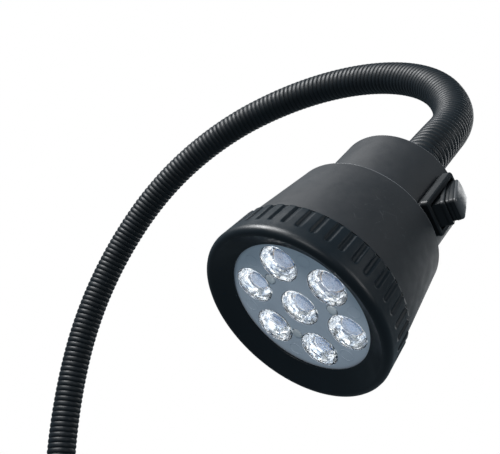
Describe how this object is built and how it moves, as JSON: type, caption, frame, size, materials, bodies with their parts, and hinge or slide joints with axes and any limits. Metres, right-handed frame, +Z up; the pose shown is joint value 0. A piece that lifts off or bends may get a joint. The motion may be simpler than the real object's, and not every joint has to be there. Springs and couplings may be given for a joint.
{
  "type": "gooseneck spotlight",
  "caption": "Round spotlight head on a ribbed gooseneck arm with a screw-down base, a grooved screw-on front ring, a clear multi-lens plate and a rocker switch on the neck.",
  "frame": {"origin": "middle of the underside of the base, where it meets what it is fixed to", "axes": "+Z up along the foot of the arm, -Y the way the arm reaches, +Y the side of the cable gland"},
  "size_m": [0.1441, 0.3235, 0.289],
  "materials": {
    "pad_rubber": "matt",
    "base_paint": "satin black powder coat",
    "black_anodised": "satin black anodised",
    "ring_anodised": "satin black anodised",
    "gland_plastic": "moulded",
    "seal_rubber": "matt",
    "screw_steel": "bright",
    "arm_sleeve": "satin, ribbed",
    "arm_core": "oiled spring steel",
    "lead_sheath": "matt",
    "bush_brass": "turned",
    "sink_aluminium": "as cast",
    "thermal_pad": "soft grey",
    "led_board": "white solder mask",
    "led_chips": "yellow phosphor",
    "lens_clear": "clear acrylic",
    "driver_board": "green solder mask",
    "driver_parts": "moulded cases",
    "wire_sheath": "pvc",
    "switch_case": "moulded",
    "switch_cap": "polished",
    "switch_plunger": "moulded",
    "switch_metal": "tinned"
  },
  "bodies": {
    "base": {"base_pad": "pad_rubber", "base_flange": "base_paint", "gland_body": "gland_plastic", "gland_seal": "seal_rubber", "gland_nut": "gland_plastic", "lower_ferrule": "black_anodised", "lower_lock_nut": "black_anodised", "ferrule_grub_screws": "screw_steel", "sleeve_01": "arm_sleeve", "core_01": "arm_core", "lead_01": "lead_sheath"},
    "arm_02": {"sleeve_02": "arm_sleeve", "core_02": "arm_core", "lead_02": "lead_sheath"},
    "arm_03": {"sleeve_03": "arm_sleeve", "core_03": "arm_core", "lead_03": "lead_sheath"},
    "arm_04": {"sleeve_04": "arm_sleeve", "core_04": "arm_core", "lead_04": "lead_sheath"},
    "arm_05": {"sleeve_05": "arm_sleeve", "core_05": "arm_core", "lead_05": "lead_sheath"},
    "arm_06": {"sleeve_06": "arm_sleeve", "core_06": "arm_core", "lead_06": "lead_sheath"},
    "arm_07": {"sleeve_07": "arm_sleeve", "core_07": "arm_core", "lead_07": "lead_sheath"},
    "arm_08": {"sleeve_08": "arm_sleeve", "core_08": "arm_core", "lead_08": "lead_sheath"},
    "arm_09": {"sleeve_09": "arm_sleeve", "core_09": "arm_core", "lead_09": "lead_sheath"},
    "head": {"sleeve_10": "arm_sleeve", "core_10": "arm_core", "lead_10": "lead_sheath", "head_housing": "black_anodised", "upper_ferrule": "bush_brass", "upper_lock_nut": "bush_brass", "heat_sink": "sink_aluminium", "thermal_pad": "thermal_pad", "led_board": "led_board", "led_chips": "led_chips", "lens_plate": "lens_clear", "lens_screws": "screw_steel", "driver_board": "driver_board", "driver_parts": "driver_parts", "head_wires": "wire_sheath", "switch_housing": "switch_case", "switch_terminals": "switch_metal"},
    "gasket": {"lens_gasket": "seal_rubber"},
    "front_ring": {"front_ring": "ring_anodised"},
    "rocker": {"switch_rocker": "switch_cap", "switch_plunger": "switch_plunger", "switch_spring": "switch_metal"},
    "contact_blade": {"switch_blade": "switch_metal"}
  },
  "joints": [
    {"name": "arm_bend_1", "type": "hinge", "parent": "base", "child": "arm_02", "pos_m": [0.00187, -0.00383, 0.14875], "axis": [0.8665, 0.499, 0.0121], "range_deg": [-20, 12]},
    {"name": "arm_swing_2", "type": "hinge", "parent": "arm_02", "child": "arm_03", "pos_m": [0.0085, -0.01648, 0.1955], "axis": [0.1868, -0.9007, -0.3921], "range_deg": [-15, 15]},
    {"name": "arm_bend_3", "type": "hinge", "parent": "arm_03", "child": "arm_04", "pos_m": [0.01924, -0.0406, 0.23654], "axis": [0.9557, 0.2852, -0.0728], "range_deg": [-20, 12]},
    {"name": "arm_swing_4", "type": "hinge", "parent": "arm_04", "child": "arm_05", "pos_m": [0.03235, -0.07697, 0.26615], "axis": [0.0488, -0.4521, -0.8906], "range_deg": [-15, 15]},
    {"name": "arm_bend_5", "type": "hinge", "parent": "arm_05", "child": "arm_06", "pos_m": [0.04654, -0.1215, 0.28003], "axis": [0.9204, 0.2399, -0.3087], "range_deg": [-20, 12]},
    {"name": "arm_swing_6", "type": "hinge", "parent": "arm_06", "child": "arm_07", "pos_m": [0.05803, -0.16881, 0.27754], "axis": [-0.5025, 0.0994, -0.8588], "range_deg": [-15, 15]},
    {"name": "arm_bend_7", "type": "hinge", "parent": "arm_07", "child": "arm_08", "pos_m": [0.06097, -0.21317, 0.25796], "axis": [0.786, 0.313, -0.5331], "range_deg": [-20, 12]},
    {"name": "arm_swing_8", "type": "hinge", "parent": "arm_08", "child": "arm_09", "pos_m": [0.04996, -0.24487, 0.22313], "axis": [-0.8015, 0.596, 0.0488], "range_deg": [-15, 15]},
    {"name": "arm_bend_9", "type": "hinge", "parent": "arm_09", "child": "head", "pos_m": [0.02253, -0.25831, 0.18548], "axis": [0.6621, -0.3982, -0.6349], "range_deg": [-20, 12]},
    {"name": "front_ring_advance", "type": "slide", "parent": "head", "child": "gasket", "axis": [-0.6388, 0.1431, -0.756], "range_m": [0, 0.0045]},
    {"name": "front_ring_turn", "type": "hinge", "parent": "gasket", "child": "front_ring", "pos_m": [-0.04924, -0.24857, 0.10452], "axis": [-0.6388, 0.1431, -0.756], "range_deg": [0, 1080]},
    {"name": "switch_rock", "type": "hinge", "parent": "head", "child": "rocker", "pos_m": [-0.01791, -0.2784, 0.13404], "axis": [0.7666, 0.202, -0.6096], "range_deg": [0, 42]},
    {"name": "contact_tip", "type": "hinge", "parent": "head", "child": "contact_blade", "pos_m": [-0.01835, -0.27191, 0.13564], "axis": [0.7666, 0.202, -0.6096], "range_deg": [-12.5, 0.5]}
  ],
  "couplings": [
    {"joint": "front_ring_advance", "follows": "front_ring_turn", "m_per_rad": 0.00023873},
    {"joint": "contact_tip", "follows": "switch_rock", "ratio": -0.28571}
  ]
}
